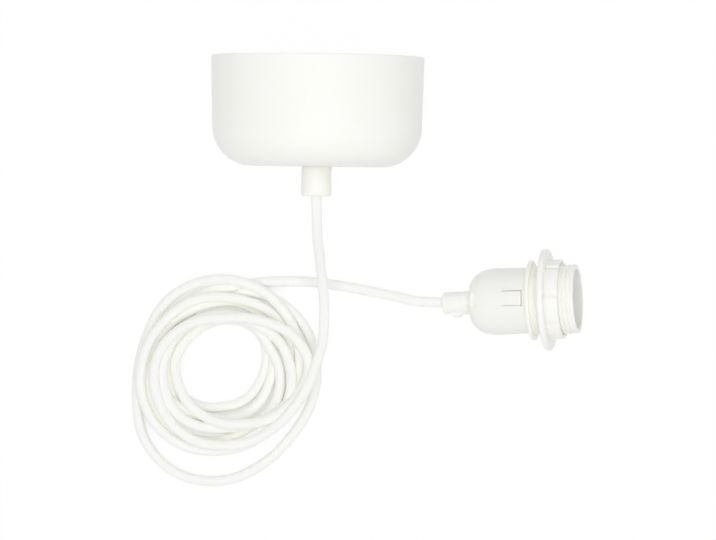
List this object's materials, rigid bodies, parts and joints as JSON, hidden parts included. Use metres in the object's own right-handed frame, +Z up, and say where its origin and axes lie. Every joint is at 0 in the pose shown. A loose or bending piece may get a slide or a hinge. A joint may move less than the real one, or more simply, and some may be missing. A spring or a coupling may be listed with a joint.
{
  "type": "pendant light cord set",
  "caption": "Pendant light cord set: white ceiling cup with a cord grip, round textile cord lying in a loose coil, and a threaded lamp holder with a shade ring.",
  "frame": {"origin": "on the table under the middle of the box that holds the ceiling cup and the lamp holder without the cord", "axes": "+Z up from the table, +Y the way the ceiling cup's rim faces, +X the way the lamp holder's mouth faces"},
  "size_m": [0.2594, 0.2479, 0.12],
  "materials": {
    "white_plastic": "satin moulded thermoplastic",
    "white_nylon": "matte moulded",
    "brass": "bright",
    "plated_steel": "nickel plated",
    "brown_insulation": "matte",
    "blue_insulation": "matte",
    "white_textile": "braided textile"
  },
  "bodies": {
    "light": {"ceiling_cup": "white_plastic", "cup_cord_grip": "white_plastic", "cup_grip_screw": "white_nylon", "cup_grip_nut": "white_plastic", "terminal_block": "white_nylon", "live_pole": "brass", "neutral_pole": "brass", "live_pole_screw_lower": "plated_steel", "live_pole_screw_upper": "plated_steel", "neutral_pole_screw_lower": "plated_steel", "neutral_pole_screw_upper": "plated_steel", "live_core_at_cup": "brown_insulation", "neutral_core_at_cup": "blue_insulation", "holder_cord_grip": "white_plastic", "holder_grip_screw": "white_nylon", "holder_cap": "white_plastic", "threaded_sleeve": "white_plastic", "contact_carrier": "white_nylon", "live_terminal": "brass", "neutral_terminal": "brass", "live_terminal_screw": "plated_steel", "neutral_terminal_screw": "plated_steel", "live_core_at_holder": "brown_insulation", "neutral_core_at_holder": "blue_insulation", "centre_contact": "brass", "shell_contact": "brass", "centre_contact_rivet": "plated_steel", "shell_contact_rivet": "plated_steel", "lamp_shell": "plated_steel", "cord_cup_lead": "white_textile", "cord_holder_lead": "white_textile", "cord_outer_turn": "white_textile", "cord_coil": "white_textile"},
    "ring": {"shade_ring": "white_plastic"}
  },
  "joints": [
    {"name": "shade_ring_travel", "type": "slide", "parent": "light", "child": "ring", "axis": [0.9758, 0.0494, 0.213], "range_m": [-0.0055, 0.016]}
  ]
}
